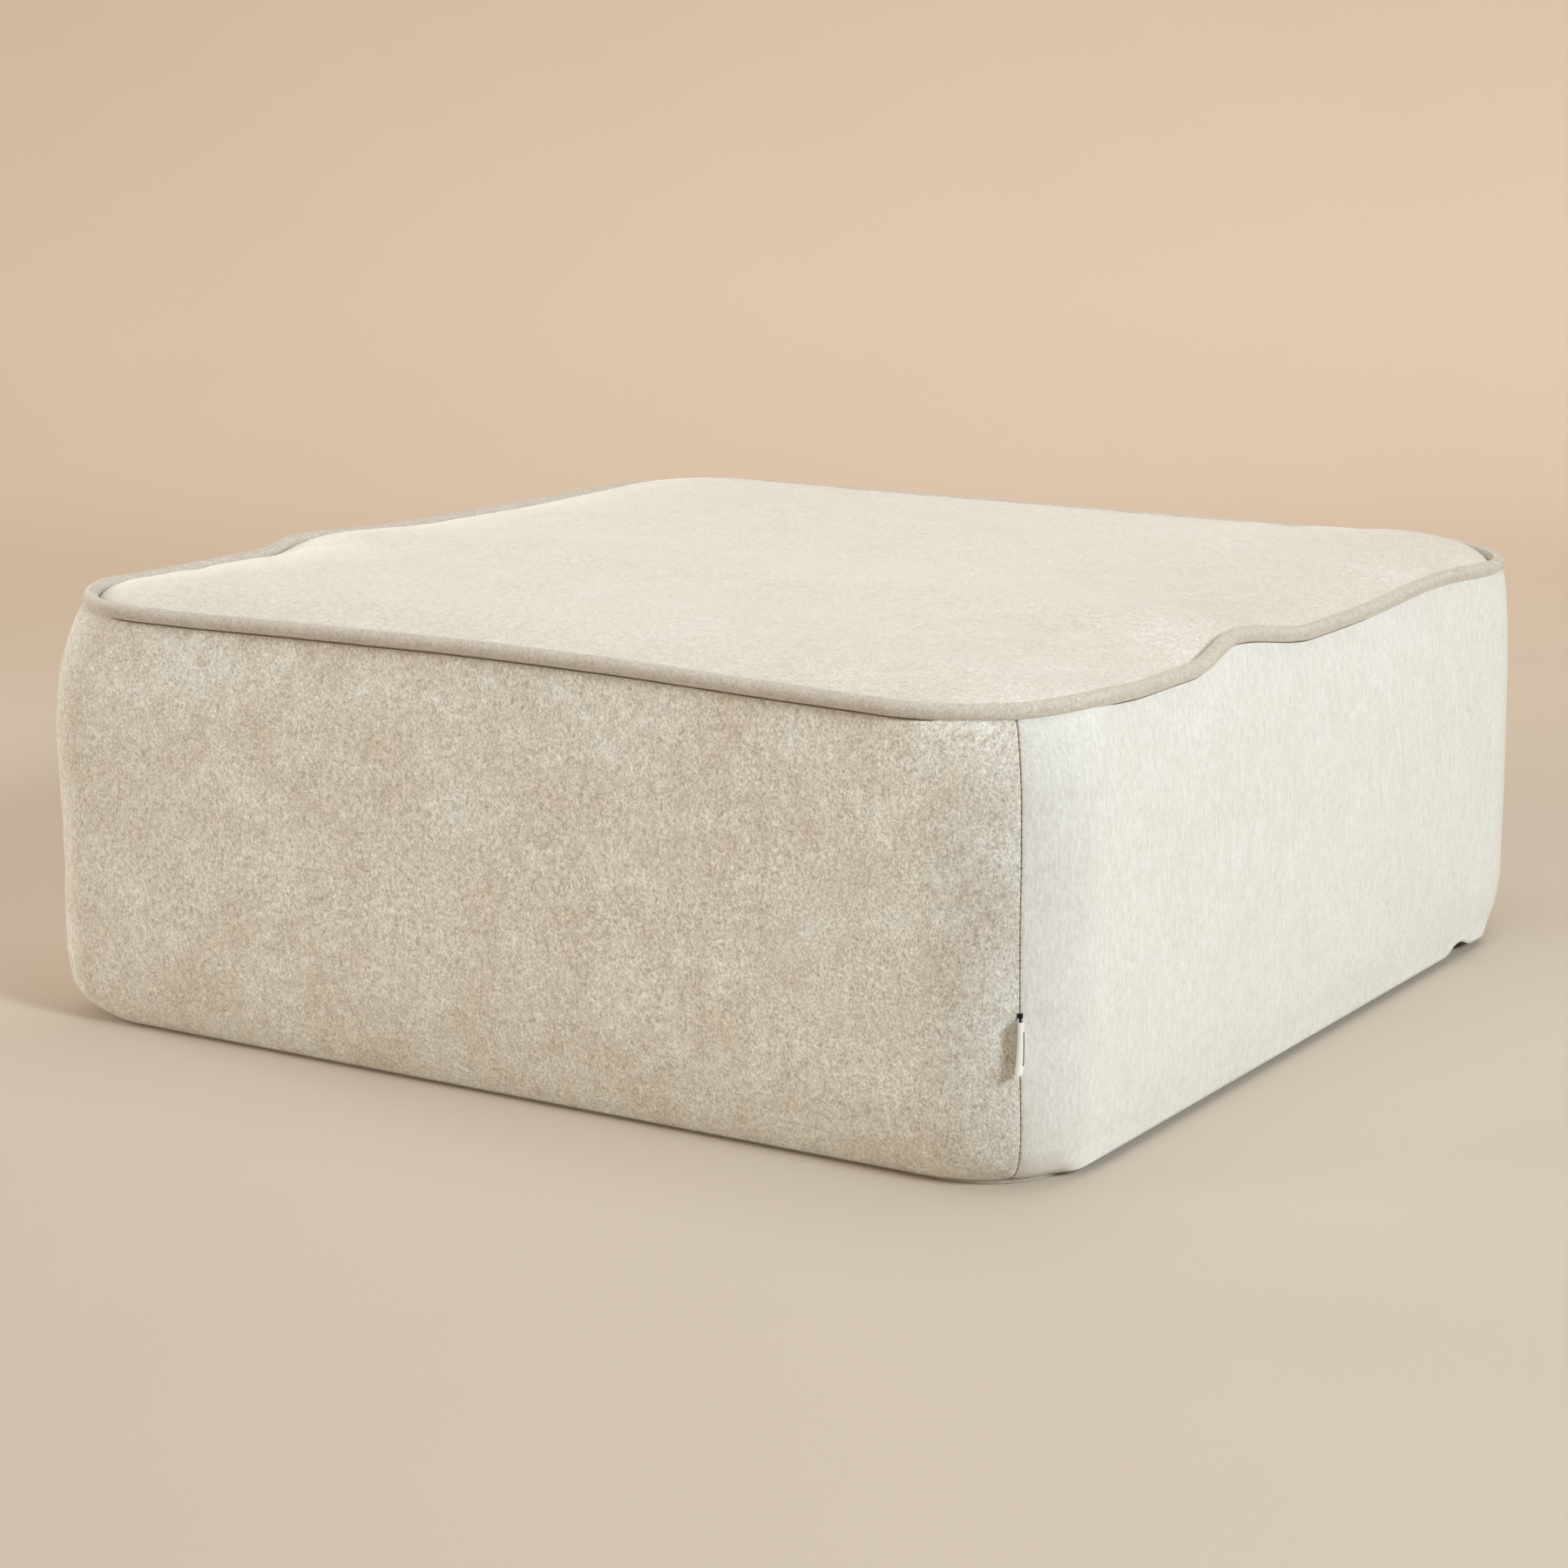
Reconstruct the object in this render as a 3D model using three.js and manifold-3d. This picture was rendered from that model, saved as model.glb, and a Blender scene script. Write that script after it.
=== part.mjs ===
// A square upholstered floor cushion: a zipped plush cover with one piped edge over a built-up foam core.
// Units are millimetres and +Z is up. The origin is the centre of the face that the cushion rests on.
// +X is the side with the zip, -Y is the front, and the label sits in the seam of the front-right corner.
import * as THREE from "three";
import { mergeVertices } from "three/addons/utils/BufferGeometryUtils.js";
import Module from "manifold-3d";

const wasm = await Module();
wasm.setup();

// ---- Driving dimensions -------------------------------------------------------------------------

const PIPING_HALF = 390; // half the side of the square that the piping's centre follows
const PIPING_CORNER_R = 100;
const PIPING_Z = 285;
const PIPING_R = 5.5;
const CORD_R = 3.8;
const STRIP_WALL = 1.3; // cloth thickness of the strip around the cord
const STRIP_TAIL = 9; // seam allowance of the strip, past the cord
const CLOTH = 2; // plush cover cloth with its backing
const GAP = 0.3; // clearance between touching pieces
const CORNER_STEPS = 6;
const SEAM_HALF_GAP = 0.8; // half the slot between the two side bands at a corner seam
const SEAM_ALLOWANCE = 9;

// The side bands' outer face from the base up: height, half width there, and plan corner radius there.
const SIDE_PROFILE = [
  { z: 2.9, half: 379, radius: 56 },
  { z: 8, half: 384, radius: 57 },
  { z: 16, half: 388, radius: 58 },
  { z: 30, half: 391.5, radius: 58 },
  { z: 60, half: 394, radius: 58 },
  { z: 140, half: 395, radius: 58 },
  { z: 225, half: 394, radius: 66 },
  { z: 260, half: 391.5, radius: 82 },
  { z: 277, half: 387, radius: 92 },
  { z: 283.3, half: 384, radius: 94 },
];

const PANEL_EDGE_Z = 288.6; // the top panel's upper face where it meets the piping
const CROWN = 8; // how much higher the middle of the top panel stands
const CROWN_RUN = 150; // distance from the edge over which the crown rises

// A low transverse ridge, where the rear top foam stands proud of the front one.
const RIDGE = {
  y: { left: -104, right: -127 },
  height: { left: 6.5, right: 13 },
  front_run: 58,
  rear_run: { left: 120, right: 102 },
};
const RIDGE_STATIONS = [-0.62, -0.53, -0.47, -0.42, -0.37, -0.3, -0.2, 0.1, 0.6];

const WRAP_EDGE = 374.5; // half width of the fibre wrap at its top and bottom edges
const WRAP_PROFILE = [
  { z: 3.2, half: 374 },
  { z: 30, half: 374 },
  { z: 60, half: 384 },
  { z: 140, half: 387 },
  { z: 220, half: 386 },
  { z: 267, half: 380 },
  { z: 280, half: WRAP_EDGE },
];
const WRAP_CORNER_R = 88; // larger than the cover's, which leaves room for the corner seam allowances
const WRAP_INNER_HALF = 366;
const WRAP_TOP = 282.2; // upper face of the wrap at its edge, and below it the well that the liner fills
const WRAP_WELL = 274.9;
const LINER_WALL = 1;
const LINER_SLIT = 560; // length of the opening in the liner's underside
const FOAM_HALF = 364;
const FOAM_CORNER_R = 76;
const FOAM_BOTTOM = 4.6;
const FOAM_SPLIT_Z = 168;
const FOAM_TOP_Z = 273;
const FOAM_FRONT_DROP = 8; // the front top foam is this much thinner than the rear one
const FOAM_SPLIT_Y = -118;

const ZIP = {
  z: 10, // height of the line where the two rows of teeth meet
  half_length: 272,
  slit: 1.2, // clear width between the rows, in which the slider's post runs
  tape_x: 378.6,
  tape_t: 0.8,
  tape_top: 26,
  coil_w: 2.4,
  coil_t: 2,
};
const SLIDER = { y: 262, length: 11, width: 8.4, plate: 1.2, post: 0.6 };
const TAB = { length: 21, width: 7, thick: 1.3, slot_w: 3.8, slot_l: 6.2, bar: 1.3 };
const LABEL = { bottom: 78.5, height: 32, reach: 13, thick: 0.8, clearance: 0.6 };
const CARE_LABEL = { y: -120, width: 46, bottom: 6, height: 22, thick: 0.6, x: 374.8 };

// ---- Materials ----------------------------------------------------------------------------------

const finish = (color, roughness, metalness = 0) =>
  new THREE.MeshStandardMaterial({ color, roughness, metalness });

// ---- Geometry helpers ---------------------------------------------------------------------------

// Stations once round the plan, anticlockwise from the middle of the front-right corner.
// A corner station is an angle on that corner's arc, and a side station a share of the straight.
function perimeter() {
  const corner = (sx, sy, from, to) =>
    Array.from({ length: CORNER_STEPS + 1 }, (_, i) => ({
      sx,
      sy,
      angle: THREE.MathUtils.degToRad(from + ((to - from) * i) / CORNER_STEPS),
    }));
  const side = (sx, shares) => shares.map((share) => ({ sx, share }));
  const half = CORNER_STEPS / 2;
  const frontRight = corner(1, -1, -90, 0);
  return [
    ...frontRight.slice(half),
    ...side(1, RIDGE_STATIONS),
    ...corner(1, 1, 0, 90),
    ...corner(-1, 1, 90, 180),
    ...side(-1, [...RIDGE_STATIONS].reverse()),
    ...corner(-1, -1, 180, 270),
    ...frontRight.slice(0, half),
  ];
}
const STATIONS = perimeter();
const REAR_LEFT_SEAM = STATIONS.findIndex((s) => s.sx === -1 && s.sy === 1) + CORNER_STEPS / 2;

function planPoint(station, half, radius) {
  const straight = half - radius;
  if (station.angle === undefined)
    return new THREE.Vector2(station.sx * half, station.share * straight);
  return new THREE.Vector2(
    station.sx * straight + radius * Math.cos(station.angle),
    station.sy * straight + radius * Math.sin(station.angle),
  );
}

// Height that the ridge adds at a plan point.
function ridgeLift(x, y) {
  const across = THREE.MathUtils.clamp(x / PIPING_HALF / 2 + 0.5, 0, 1);
  const crest = THREE.MathUtils.lerp(RIDGE.y.left, RIDGE.y.right, across);
  const height = THREE.MathUtils.lerp(RIDGE.height.left, RIDGE.height.right, across);
  const rear = THREE.MathUtils.lerp(RIDGE.rear_run.left, RIDGE.rear_run.right, across);
  const t = y < crest ? (crest - y) / RIDGE.front_run : (y - crest) / rear;
  return t >= 1 ? 0 : height * 0.5 * (1 + Math.cos(Math.PI * t));
}

// The share of the ridge that shows at a height: all of it at the piping, none low on the side.
const liftShare = (z) => Math.pow(THREE.MathUtils.clamp(z / PIPING_Z, 0, 1), 6);

function placed(station, { half, radius, z }) {
  const p = planPoint(station, half, radius);
  return new THREE.Vector3(p.x, p.y, z + liftShare(z) * ridgeLift(p.x, p.y));
}

function fromTriangles(points, faces) {
  const geometry = new THREE.BufferGeometry();
  geometry.setAttribute(
    "position",
    new THREE.Float32BufferAttribute(points.flatMap((p) => [p.x, p.y, p.z]), 3),
  );
  geometry.setIndex(faces.flat());
  return geometry;
}

function stitchRows(faces, rows, cols, closed) {
  const last = closed ? rows : rows - 1;
  for (let i = 0; i < last; i++)
    for (let j = 0; j < cols; j++) {
      const a = i * cols + j;
      const b = i * cols + ((j + 1) % cols);
      const c = ((i + 1) % rows) * cols + j;
      const d = ((i + 1) % rows) * cols + ((j + 1) % cols);
      faces.push([a, c, b], [b, c, d]);
    }
}

// A section carried all the way round: a ring. The section runs anticlockwise seen with outwards to the right.
function ring(section) {
  const points = STATIONS.flatMap((s) => section.map((q) => placed(s, q)));
  const faces = [];
  stitchRows(faces, STATIONS.length, section.length, true);
  return fromTriangles(points, faces);
}

// A section carried along part of the way round, closed by a flat face at each end.
function strip(section, stations, inset) {
  const rows = stations.map((s) => section.map((q) => placed(s, q)));
  [0, rows.length - 1].forEach((end) => {
    const along = new THREE.Vector3(-stations[end].sy, stations[end].sx, 0).normalize();
    const shift = along.multiplyScalar(end === 0 ? inset : -inset);
    rows[end].forEach((p) => p.add(shift));
  });
  const faces = [];
  const cols = section.length;
  stitchRows(faces, rows.length, cols, false);
  const flat = section.map((q) => new THREE.Vector2(q.half, q.z));
  const caps = THREE.ShapeUtils.triangulateShape(flat, []);
  const far = (rows.length - 1) * cols;
  caps.forEach(([a, b, c]) => {
    faces.push([a, b, c]);
    faces.push([far + a, far + c, far + b]);
  });
  return fromTriangles(rows.flat(), faces);
}

// A cup turned upside down: outer and inner rows from the rim to the middle, joined at the rim.
function cup(outer, inner, lidZ, floorZ) {
  const n = STATIONS.length;
  const rows = [...[...inner].reverse(), ...outer];
  const points = rows.flatMap((q) => STATIONS.map((s) => placed(s, q)));
  const faces = [];
  stitchRows(faces, rows.length, n, false);
  const low = points.push(new THREE.Vector3(0, 0, floorZ + ridgeLift(0, 0))) - 1;
  const high = points.push(new THREE.Vector3(0, 0, lidZ + ridgeLift(0, 0))) - 1;
  const last = (rows.length - 1) * n;
  for (let j = 0; j < n; j++) {
    const k = (j + 1) % n;
    faces.push([low, j, k]);
    faces.push([high, last + k, last + j]);
  }
  return fromTriangles(points, faces.map(([a, b, c]) => [a, c, b]));
}

function roundedSquare(half, radius) {
  const shape = new THREE.Shape();
  const straight = half - radius;
  shape.absarc(straight, -straight, radius, -Math.PI / 2, 0, false);
  shape.absarc(straight, straight, radius, 0, Math.PI / 2, false);
  shape.absarc(-straight, straight, radius, Math.PI / 2, Math.PI, false);
  shape.absarc(-straight, -straight, radius, Math.PI, 1.5 * Math.PI, false);
  shape.closePath();
  return shape;
}

function slab(half, radius, low, high) {
  const geometry = new THREE.ExtrudeGeometry(roundedSquare(half, radius), {
    depth: high - low,
    bevelEnabled: false,
    curveSegments: CORNER_STEPS,
  });
  return geometry.translate(0, 0, low);
}

function box(x0, x1, y0, y1, z0, z1) {
  const geometry = new THREE.BoxGeometry(x1 - x0, y1 - y0, z1 - z0);
  return geometry.translate((x0 + x1) / 2, (y0 + y1) / 2, (z0 + z1) / 2);
}

function solid(geometry) {
  const bare = geometry.clone();
  bare.deleteAttribute("normal");
  bare.deleteAttribute("uv");
  const merged = mergeVertices(bare, 1e-4);
  return new wasm.Manifold(
    new wasm.Mesh({
      numProp: 3,
      vertProperties: Float32Array.from(merged.attributes.position.array),
      triVerts: Uint32Array.from(merged.index.array),
    }),
  );
}

function geometryOf(manifold) {
  const mesh = manifold.getMesh();
  const geometry = new THREE.BufferGeometry();
  geometry.setAttribute("position", new THREE.BufferAttribute(mesh.vertProperties, 3));
  geometry.setIndex(new THREE.BufferAttribute(mesh.triVerts, 1));
  return geometry;
}

const joined = (...parts) => geometryOf(parts.map(solid).reduce((a, b) => a.add(b)));
const cut = (whole, ...tools) => geometryOf(tools.map(solid).reduce((a, b) => a.subtract(b), solid(whole)));
const shared = (a, b) => geometryOf(solid(a).intersect(solid(b)));

// ---- Cover --------------------------------------------------------------------------------------

function crownAt(distance) {
  const t = THREE.MathUtils.clamp(distance / CROWN_RUN, 0, 1);
  return CROWN * Math.sin((t * Math.PI) / 2);
}

function topPanel() {
  const edgeHalf = PIPING_HALF - PIPING_R - GAP;
  const distances = [0, 12, 40, 90, 150, 225, 300];
  const row = (d, z) => ({
    half: edgeHalf - d,
    radius: Math.max(PIPING_CORNER_R - PIPING_R - d * 0.7, 12),
    z: z + crownAt(d),
  });
  const outer = distances.map((d) => row(d, PANEL_EDGE_Z));
  const inner = distances.map((d) => row(d, PANEL_EDGE_Z - CLOTH + 0.1));
  return cup(outer, inner, PANEL_EDGE_Z + CROWN, PANEL_EDGE_Z - CLOTH + CROWN);
}

// The inner face of the side cloth, offset square to the outer profile.
function sideSection() {
  const inner = SIDE_PROFILE.map((q, i) => {
    const before = SIDE_PROFILE[Math.max(i - 1, 0)];
    const after = SIDE_PROFILE[Math.min(i + 1, SIDE_PROFILE.length - 1)];
    const slope = new THREE.Vector2(after.half - before.half, after.z - before.z).normalize();
    const shift = CLOTH * slope.y;
    const rise = i === 0 || i === SIDE_PROFILE.length - 1 ? 0 : -CLOTH * slope.x;
    return { half: q.half - shift, radius: q.radius - shift, z: q.z - rise };
  });
  return [...SIDE_PROFILE, ...inner.reverse()];
}

// The cloth turned in behind a corner seam: a thin plate square to the face.
function seamAllowance(sx, sy, side) {
  const outline = SIDE_PROFILE.map((q) => {
    const reach = Math.SQRT2 * (q.half - q.radius) + q.radius;
    return new THREE.Vector2(reach - CLOTH / 2, q.z);
  });
  const back = [...outline].reverse().map((p) => new THREE.Vector2(p.x - SEAM_ALLOWANCE, p.y));
  const plate = new THREE.ExtrudeGeometry(new THREE.Shape([...outline, ...back]), {
    depth: CLOTH,
    bevelEnabled: false,
  });
  plate.translate(0, 0, side > 0 ? SEAM_HALF_GAP : -SEAM_HALF_GAP - CLOTH);
  plate.rotateX(Math.PI / 2);
  return plate.rotateZ(Math.atan2(sy, sx));
}

function sideBand(stations, allowances) {
  return joined(strip(sideSection(), stations, SEAM_HALF_GAP), ...allowances);
}

function bandRightBack() {
  const whole = sideBand(STATIONS.slice(0, REAR_LEFT_SEAM + 1), [
    seamAllowance(1, -1, -1),
    seamAllowance(-1, 1, 1),
  ]);
  const reach = SLIDER.y + TAB.length + 4; // as far as the tab reaches past either end of the zip
  return cut(whole, box(360, 400, -reach, reach, -1, 17));
}

function bandFrontLeft() {
  return sideBand([...STATIONS.slice(REAR_LEFT_SEAM), STATIONS[0]], [
    seamAllowance(-1, 1, -1),
    seamAllowance(1, -1, 1),
  ]);
}

function basePanel() {
  return slab(376, 55, 0, 2.5);
}

// The strip's section: open inwards between its two tails, so that the cord's space is not sealed.
function pipingStrip() {
  const arc = (r, from, to, steps) =>
    Array.from({ length: steps + 1 }, (_, i) => {
      const a = from + ((to - from) * i) / steps;
      return { x: r * Math.cos(a), z: r * Math.sin(a) };
    });
  const inner = PIPING_R - STRIP_WALL;
  const slit = 0.25;
  const wall = Math.asin((STRIP_WALL + slit) / PIPING_R);
  const lip = Math.asin(slit / inner);
  const tail = -PIPING_R - STRIP_TAIL;
  const outline = [
    { x: tail, z: -slit - STRIP_WALL },
    ...arc(PIPING_R, -Math.PI + wall, Math.PI - wall, 10),
    { x: tail, z: slit + STRIP_WALL },
    { x: tail, z: slit },
    ...arc(inner, Math.PI - lip, -Math.PI + lip, 8),
    { x: tail, z: -slit },
  ];
  return ring(outline.map((p) => ({
    half: PIPING_HALF + p.x,
    radius: PIPING_CORNER_R + p.x,
    z: PIPING_Z + p.z,
  })));
}

function pipingCord() {
  const sides = 8;
  return ring(Array.from({ length: sides }, (_, i) => {
    const a = (2 * Math.PI * i) / sides;
    const x = CORD_R * Math.cos(a);
    return { half: PIPING_HALF + x, radius: PIPING_CORNER_R + x, z: PIPING_Z + CORD_R * Math.sin(a) };
  }));
}

function wovenLabel() {
  const widest = SIDE_PROFILE.reduce((a, b) => (b.half > a.half ? b : a));
  const root = Math.SQRT2 * (widest.half - widest.radius) + widest.radius + LABEL.clearance;
  const top = LABEL.bottom + LABEL.height;
  const tag = box(root, root + LABEL.reach, -LABEL.thick / 2, LABEL.thick / 2, LABEL.bottom, top);
  return tag.rotateZ(-Math.PI / 4);
}

// ---- Zip ----------------------------------------------------------------------------------------

function zipTapeUpper() {
  const low = ZIP.z + ZIP.slit / 2;
  return box(ZIP.tape_x, ZIP.tape_x + ZIP.tape_t, -ZIP.half_length, ZIP.half_length, low, ZIP.tape_top);
}

function zipTapeLower() {
  const high = ZIP.z - ZIP.slit / 2;
  const far = ZIP.tape_x + ZIP.tape_t;
  const wall = box(ZIP.tape_x, far, -ZIP.half_length, ZIP.half_length, 3.2, high);
  return joined(wall, box(ZIP.tape_x - 3.2, far, -ZIP.half_length, ZIP.half_length, 3.2, 4));
}

function zipCoil(side) {
  const near = ZIP.z + (side * ZIP.slit) / 2;
  const far = near + side * ZIP.coil_w;
  const x = ZIP.tape_x + ZIP.tape_t + 0.1;
  const length = ZIP.half_length - 1;
  return box(x, x + ZIP.coil_t, -length, length, Math.min(near, far), Math.max(near, far));
}

function zipSlider() {
  const back = ZIP.tape_x - GAP - SLIDER.plate;
  const front = ZIP.tape_x + ZIP.tape_t + 0.1 + ZIP.coil_t + 0.4;
  const outside = front + SLIDER.plate;
  const h = SLIDER.length / 2;
  const w = SLIDER.width / 2;
  const plate = (x, half) => box(x, x + SLIDER.plate, SLIDER.y - h, SLIDER.y + h, ZIP.z - half, ZIP.z + half);
  const post = box(back, outside, SLIDER.y + h - 3.4, SLIDER.y + h - 0.4,
    ZIP.z - SLIDER.post / 2, ZIP.z + SLIDER.post / 2);
  const leg = (y) => box(outside - 0.2, outside + 3.4, y - 0.6, y + 0.6, ZIP.z - 1, ZIP.z + 1);
  const bridge = box(outside + 2.4, outside + 3.4, SLIDER.y - 3.6, SLIDER.y + 3.6, ZIP.z - 1, ZIP.z + 1);
  const shell = joined(plate(back, w - 1), plate(front, w), post);
  return joined(shell, leg(SLIDER.y - 3), leg(SLIDER.y + 3), bridge);
}

// The tab hangs on its root bar, which lies under the slider's bridge, and points to the front.
function zipPull() {
  const x = ZIP.tape_x + ZIP.tape_t + 0.1 + ZIP.coil_t + 0.4 + SLIDER.plate + 0.5;
  const root = SLIDER.y + TAB.bar / 2;
  const w = TAB.width / 2;
  const s = TAB.slot_w / 2;
  const plate = box(x, x + TAB.thick, root - TAB.length, root, ZIP.z - w, ZIP.z + w);
  const slot = box(x - 1, x + TAB.thick + 1, root - TAB.bar - TAB.slot_l, root - TAB.bar, ZIP.z - s, ZIP.z + s);
  return cut(plate, slot);
}

function careLabel() {
  const y = CARE_LABEL.y;
  const half = CARE_LABEL.width / 2;
  const top = CARE_LABEL.bottom + CARE_LABEL.height;
  return box(CARE_LABEL.x, CARE_LABEL.x + CARE_LABEL.thick, y - half, y + half, CARE_LABEL.bottom, top);
}

// ---- Core ---------------------------------------------------------------------------------------

function fibreWrap() {
  const outerWall = WRAP_PROFILE.map((q) => ({ ...q, radius: WRAP_CORNER_R }));
  const lid = [20, 60, 130, 220, 300].map((d) => ({
    half: WRAP_EDGE - d,
    radius: Math.max(WRAP_CORNER_R - d * 0.7, 12),
    z: WRAP_TOP + d * 0.008,
  }));
  const inner = [3.2, WRAP_WELL].map((z) => ({ half: WRAP_INNER_HALF, radius: FOAM_CORNER_R + 2, z }));
  const well = [60, 130, 220, 300].map((d) => ({
    half: WRAP_INNER_HALF - d,
    radius: Math.max(FOAM_CORNER_R - d * 0.7, 12),
    z: WRAP_WELL,
  }));
  return cup([...outerWall, ...lid], [...inner, ...well], WRAP_TOP + 2.4, WRAP_WELL);
}

function innerLiner() {
  const half = FOAM_HALF + GAP + LINER_WALL;
  const bottom = FOAM_BOTTOM - GAP - LINER_WALL;
  const top = FOAM_TOP_Z + GAP + LINER_WALL;
  const bag = slab(half, FOAM_CORNER_R + GAP + LINER_WALL, bottom, top);
  const hollow = slab(FOAM_HALF + GAP, FOAM_CORNER_R + GAP, FOAM_BOTTOM - GAP, FOAM_TOP_Z + GAP);
  const slit = box(-LINER_SLIT / 2, LINER_SLIT / 2, 300, 303, bottom - 1, FOAM_BOTTOM);
  return cut(bag, hollow, slit);
}

const foamBlock = (low, high) => slab(FOAM_HALF, FOAM_CORNER_R, low, high);

function foamTop(y0, y1, thickness) {
  const low = FOAM_SPLIT_Z + GAP;
  return shared(foamBlock(low, low + thickness), box(-400, 400, y0, y1, low - 1, 400));
}

// ---- Assembly -----------------------------------------------------------------------------------

const cushion = new THREE.Group();

function add(name, geometry, material) {
  const mesh = new THREE.Mesh(geometry, material);
  mesh.name = name;
  cushion.add(mesh);
}

const foamTopThickness = FOAM_TOP_Z - FOAM_SPLIT_Z - GAP;

add("top_panel", topPanel(), finish(0xe7e0d2, 0.95));
add("side_band_front_left", bandFrontLeft(), finish(0xded6c4, 0.95));
add("side_band_right_back", bandRightBack(), finish(0xe4dfd2, 0.95));
add("piping_strip", pipingStrip(), finish(0xd2c9b8, 0.9));
add("piping_cord", pipingCord(), finish(0xeeeae0, 0.9));
add("base_panel", basePanel(), finish(0xcfc8ba, 0.9));
add("woven_label", wovenLabel(), finish(0xf2f1ee, 0.6));
add("care_label", careLabel(), finish(0xf5f5f3, 0.6));
add("zip_tape_upper", zipTapeUpper(), finish(0xd9d2c2, 0.85));
add("zip_tape_lower", zipTapeLower(), finish(0xd9d2c2, 0.85));
add("zip_teeth_upper", zipCoil(1), finish(0xcfc7b6, 0.5));
add("zip_teeth_lower", zipCoil(-1), finish(0xcfc7b6, 0.5));
add("zip_slider", zipSlider(), finish(0x3b3a39, 0.35, 1));
add("zip_pull_tab", zipPull(), finish(0x3b3a39, 0.35, 1));
add("fibre_wrap", fibreWrap(), finish(0xf6f5f1, 1));
add("inner_liner", innerLiner(), finish(0xf0eee8, 0.9));
add("foam_base_block", foamBlock(FOAM_BOTTOM, FOAM_SPLIT_Z), finish(0xe9dfb8, 1));
add("foam_top_front", foamTop(-400, FOAM_SPLIT_Y - 1, foamTopThickness - FOAM_FRONT_DROP), finish(0xf1ead0, 1));
add("foam_top_rear", foamTop(FOAM_SPLIT_Y + 1, 400, foamTopThickness), finish(0xf1ead0, 1));

export default cushion;
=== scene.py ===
"""A square plush floor cushion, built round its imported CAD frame. Metres, +Z up, -Y is the front."""
import math

import bmesh
import bpy
import numpy as np
from mathutils import Matrix, Vector


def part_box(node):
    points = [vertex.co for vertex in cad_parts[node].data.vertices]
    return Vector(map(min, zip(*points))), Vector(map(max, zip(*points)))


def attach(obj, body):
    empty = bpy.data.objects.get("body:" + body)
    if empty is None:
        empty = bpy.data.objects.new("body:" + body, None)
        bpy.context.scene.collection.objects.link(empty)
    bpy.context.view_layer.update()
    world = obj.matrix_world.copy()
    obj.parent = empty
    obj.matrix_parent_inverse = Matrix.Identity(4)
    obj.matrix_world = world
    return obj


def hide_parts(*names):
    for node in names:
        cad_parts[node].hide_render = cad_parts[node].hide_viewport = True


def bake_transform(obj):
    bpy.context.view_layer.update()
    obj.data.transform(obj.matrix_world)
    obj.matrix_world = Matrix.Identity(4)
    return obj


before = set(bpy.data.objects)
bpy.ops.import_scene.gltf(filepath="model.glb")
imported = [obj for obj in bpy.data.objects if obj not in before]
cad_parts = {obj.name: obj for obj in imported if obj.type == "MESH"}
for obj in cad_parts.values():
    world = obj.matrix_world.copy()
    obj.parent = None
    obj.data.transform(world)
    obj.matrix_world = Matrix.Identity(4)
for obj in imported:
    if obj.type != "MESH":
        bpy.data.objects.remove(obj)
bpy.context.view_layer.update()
SCENE = bpy.context.scene

# ---- Sizes, from the frame ----------------------------------------------------------------------

MM = 0.001
PIPE_LOW, PIPE_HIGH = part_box("piping_strip")
LABEL_LOW, LABEL_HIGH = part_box("woven_label")

PIPE_R = 5.4 * MM
PIPE_CAD_R = 5.5 * MM  # with the clearance that the CAD keeps round it
HALF = PIPE_HIGH.x - PIPE_CAD_R  # half the side of the square that the piping's centre follows
FILLER_R = 3.6 * MM
PIPE_CORNER = 100 * MM
PIPE_Z = PIPE_LOW.z + PIPE_CAD_R  # where nothing lifts it
SEAM_INSET = 5 * MM  # from the piping's centre line in to the corner radius of the bands' top edge
CLOTH = 1.8 * MM

SIDE_STEPS = 96  # stations from one corner's middle to the next
ARC_SHARE = 0.1065  # of those, the share on each corner's arc

# The side bands' outer face: height before the piping's lift is added, half width, and how far its
# plan corners have turned from the piping's radius (0) to their own (1).
SIDE_PROFILE = np.array([
    [2, 378.5, 0.7], [4, 382, 0.75], [8, 386, 0.82], [14, 389.3, 0.9], [24, 392.4, 1], [45, 394.8, 1],
    [120, 395.4, 1], [200, 395, 1], [240, 394.2, 0.8], [262, 393.4, 0.45], [274, 392.6, 0.2],
    [279, 391.6, 0.12], [281.5, 388.5, 0.1],
]) * (MM, MM, 1)
# Corners in the order front right, rear right, rear left, front left: plan radius at mid height.
MIDDLE_CORNER = np.array([58, 90, 74, 50]) * MM
FLAP_HALF = 391.0 * MM  # how far out it hangs, clear of the pull tab
FLAP_EDGE_Z = 5.5 * MM  # the flap of cloth that hangs over the zip, along the foot of the right side
ZIP_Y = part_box("zip_slider")[1].y - 5.5 * MM
FLAP_REACH = ZIP_Y + 30 * MM  # how far it goes to the front and to the rear
FLAP_FADE = 40 * MM  # the stretch in which each end of it grows
OPENING_Y = ZIP_Y - 12 * MM  # the middle of the place where it is tucked up round the parked slider
OPENING_HALF, OPENING_FADE, OPENING_LIFT = 20 * MM, 15 * MM, 6 * MM

# Piping height against PIPE_Z: at each corner (front left, front right, rear right, rear left) ...
CORNER_LIFT = (8.0 * MM, 3.0 * MM, -3.0 * MM, -1.5 * MM)
# ... and low swells and dips on top, in mm: middle in plan, reach along the edge, and height.
SWELLS = (
    (20, -390, 330, 4.8), (390, -312, 58, 2.4), (390, 190, 125, 4.6), (-390, 0, 150, 1.4),
    (360, 360, 90, -1.6), (-390, -330, 60, 1.5),
)


# ---- Plan shape ---------------------------------------------------------------------------------

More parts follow.
